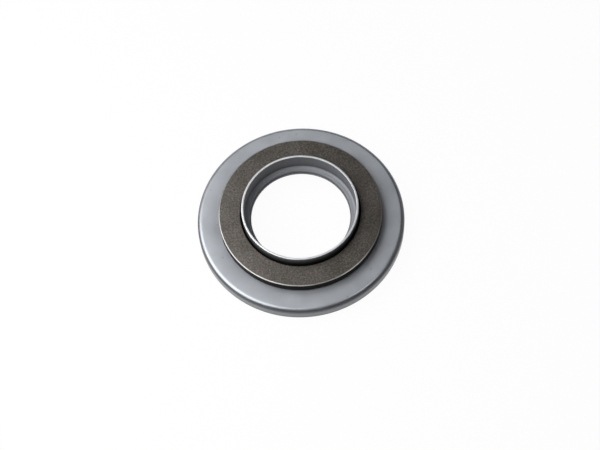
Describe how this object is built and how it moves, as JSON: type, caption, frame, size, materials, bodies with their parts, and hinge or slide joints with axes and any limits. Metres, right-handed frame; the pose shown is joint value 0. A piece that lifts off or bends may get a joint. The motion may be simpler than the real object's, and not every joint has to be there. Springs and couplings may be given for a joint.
{
  "type": "thrust ball bearing",
  "caption": "Covered thrust ball bearing: a flat upper race turns on caged balls over a wide lower race, with a pressed outer cover and a drawn guide sleeve in the bore.",
  "frame": {"origin": "on the bearing's axis, at the height of the lower race's seat face", "axes": "+Z along the bearing's axis, from the seat face up to the thrust face and the collar"},
  "size_m": [0.089, 0.089, 0.0163],
  "materials": {
    "zinc_plate": "satin zinc plate",
    "dark_steel": "matte phosphate",
    "cage_steel": "bright pressed sheet",
    "ball_steel": "polished"
  },
  "bodies": {
    "housing": {"lower_race": "dark_steel", "outer_cover": "zinc_plate"},
    "rotor": {"upper_race": "dark_steel", "inner_sleeve": "zinc_plate"},
    "cage": {"ball_cage": "cage_steel"},
    "rolling_ball_01": {"ball_01": "ball_steel"},
    "rolling_ball_02": {"ball_02": "ball_steel"},
    "rolling_ball_03": {"ball_03": "ball_steel"},
    "rolling_ball_04": {"ball_04": "ball_steel"},
    "rolling_ball_05": {"ball_05": "ball_steel"},
    "rolling_ball_06": {"ball_06": "ball_steel"},
    "rolling_ball_07": {"ball_07": "ball_steel"},
    "rolling_ball_08": {"ball_08": "ball_steel"},
    "rolling_ball_09": {"ball_09": "ball_steel"},
    "rolling_ball_10": {"ball_10": "ball_steel"},
    "rolling_ball_11": {"ball_11": "ball_steel"},
    "rolling_ball_12": {"ball_12": "ball_steel"},
    "rolling_ball_13": {"ball_13": "ball_steel"},
    "rolling_ball_14": {"ball_14": "ball_steel"},
    "rolling_ball_15": {"ball_15": "ball_steel"},
    "rolling_ball_16": {"ball_16": "ball_steel"},
    "rolling_ball_17": {"ball_17": "ball_steel"},
    "rolling_ball_18": {"ball_18": "ball_steel"},
    "rolling_ball_19": {"ball_19": "ball_steel"},
    "rolling_ball_20": {"ball_20": "ball_steel"}
  },
  "joints": [
    {"name": "race_spin", "type": "hinge", "parent": "housing", "child": "rotor", "pos_m": [0, 0, 0.0076], "axis": [0, 0, 1], "continuous": true},
    {"name": "cage_orbit", "type": "hinge", "parent": "housing", "child": "cage", "pos_m": [0, 0, 0.0058], "axis": [0, 0, 1], "continuous": true},
    {"name": "ball_01_roll", "type": "hinge", "parent": "cage", "child": "rolling_ball_01", "pos_m": [0.03005, 0, 0.0058], "axis": [1, 0, 0], "continuous": true},
    {"name": "ball_02_roll", "type": "hinge", "parent": "cage", "child": "rolling_ball_02", "pos_m": [0.02858, 0.00929, 0.0058], "axis": [0.9511, 0.309, 0], "continuous": true},
    {"name": "ball_03_roll", "type": "hinge", "parent": "cage", "child": "rolling_ball_03", "pos_m": [0.02431, 0.01766, 0.0058], "axis": [0.809, 0.5878, 0], "continuous": true},
    {"name": "ball_04_roll", "type": "hinge", "parent": "cage", "child": "rolling_ball_04", "pos_m": [0.01766, 0.02431, 0.0058], "axis": [0.5878, 0.809, 0], "continuous": true},
    {"name": "ball_05_roll", "type": "hinge", "parent": "cage", "child": "rolling_ball_05", "pos_m": [0.00929, 0.02858, 0.0058], "axis": [0.309, 0.9511, 0], "continuous": true},
    {"name": "ball_06_roll", "type": "hinge", "parent": "cage", "child": "rolling_ball_06", "pos_m": [0, 0.03005, 0.0058], "axis": [0, 1, 0], "continuous": true},
    {"name": "ball_07_roll", "type": "hinge", "parent": "cage", "child": "rolling_ball_07", "pos_m": [-0.00929, 0.02858, 0.0058], "axis": [-0.309, 0.9511, 0], "continuous": true},
    {"name": "ball_08_roll", "type": "hinge", "parent": "cage", "child": "rolling_ball_08", "pos_m": [-0.01766, 0.02431, 0.0058], "axis": [-0.5878, 0.809, 0], "continuous": true},
    {"name": "ball_09_roll", "type": "hinge", "parent": "cage", "child": "rolling_ball_09", "pos_m": [-0.02431, 0.01766, 0.0058], "axis": [-0.809, 0.5878, 0], "continuous": true},
    {"name": "ball_10_roll", "type": "hinge", "parent": "cage", "child": "rolling_ball_10", "pos_m": [-0.02858, 0.00929, 0.0058], "axis": [-0.9511, 0.309, 0], "continuous": true},
    {"name": "ball_11_roll", "type": "hinge", "parent": "cage", "child": "rolling_ball_11", "pos_m": [-0.03005, 0, 0.0058], "axis": [-1, 0, 0], "continuous": true},
    {"name": "ball_12_roll", "type": "hinge", "parent": "cage", "child": "rolling_ball_12", "pos_m": [-0.02858, -0.00929, 0.0058], "axis": [-0.9511, -0.309, 0], "continuous": true},
    {"name": "ball_13_roll", "type": "hinge", "parent": "cage", "child": "rolling_ball_13", "pos_m": [-0.02431, -0.01766, 0.0058], "axis": [-0.809, -0.5878, 0], "continuous": true},
    {"name": "ball_14_roll", "type": "hinge", "parent": "cage", "child": "rolling_ball_14", "pos_m": [-0.01766, -0.02431, 0.0058], "axis": [-0.5878, -0.809, 0], "continuous": true},
    {"name": "ball_15_roll", "type": "hinge", "parent": "cage", "child": "rolling_ball_15", "pos_m": [-0.00929, -0.02858, 0.0058], "axis": [-0.309, -0.9511, 0], "continuous": true},
    {"name": "ball_16_roll", "type": "hinge", "parent": "cage", "child": "rolling_ball_16", "pos_m": [0, -0.03005, 0.0058], "axis": [0, -1, 0], "continuous": true},
    {"name": "ball_17_roll", "type": "hinge", "parent": "cage", "child": "rolling_ball_17", "pos_m": [0.00929, -0.02858, 0.0058], "axis": [0.309, -0.9511, 0], "continuous": true},
    {"name": "ball_18_roll", "type": "hinge", "parent": "cage", "child": "rolling_ball_18", "pos_m": [0.01766, -0.02431, 0.0058], "axis": [0.5878, -0.809, 0], "continuous": true},
    {"name": "ball_19_roll", "type": "hinge", "parent": "cage", "child": "rolling_ball_19", "pos_m": [0.02431, -0.01766, 0.0058], "axis": [0.809, -0.5878, 0], "continuous": true},
    {"name": "ball_20_roll", "type": "hinge", "parent": "cage", "child": "rolling_ball_20", "pos_m": [0.02858, -0.00929, 0.0058], "axis": [0.9511, -0.309, 0], "continuous": true}
  ],
  "couplings": [
    {"joint": "cage_orbit", "follows": "race_spin", "ratio": 0.5},
    {"joint": "ball_01_roll", "follows": "race_spin", "ratio": -5.0083},
    {"joint": "ball_02_roll", "follows": "race_spin", "ratio": -5.0083},
    {"joint": "ball_03_roll", "follows": "race_spin", "ratio": -5.0083},
    {"joint": "ball_04_roll", "follows": "race_spin", "ratio": -5.0083},
    {"joint": "ball_05_roll", "follows": "race_spin", "ratio": -5.0083},
    {"joint": "ball_06_roll", "follows": "race_spin", "ratio": -5.0083},
    {"joint": "ball_07_roll", "follows": "race_spin", "ratio": -5.0083},
    {"joint": "ball_08_roll", "follows": "race_spin", "ratio": -5.0083},
    {"joint": "ball_09_roll", "follows": "race_spin", "ratio": -5.0083},
    {"joint": "ball_10_roll", "follows": "race_spin", "ratio": -5.0083},
    {"joint": "ball_11_roll", "follows": "race_spin", "ratio": -5.0083},
    {"joint": "ball_12_roll", "follows": "race_spin", "ratio": -5.0083},
    {"joint": "ball_13_roll", "follows": "race_spin", "ratio": -5.0083},
    {"joint": "ball_14_roll", "follows": "race_spin", "ratio": -5.0083},
    {"joint": "ball_15_roll", "follows": "race_spin", "ratio": -5.0083},
    {"joint": "ball_16_roll", "follows": "race_spin", "ratio": -5.0083},
    {"joint": "ball_17_roll", "follows": "race_spin", "ratio": -5.0083},
    {"joint": "ball_18_roll", "follows": "race_spin", "ratio": -5.0083},
    {"joint": "ball_19_roll", "follows": "race_spin", "ratio": -5.0083},
    {"joint": "ball_20_roll", "follows": "race_spin", "ratio": -5.0083}
  ]
}
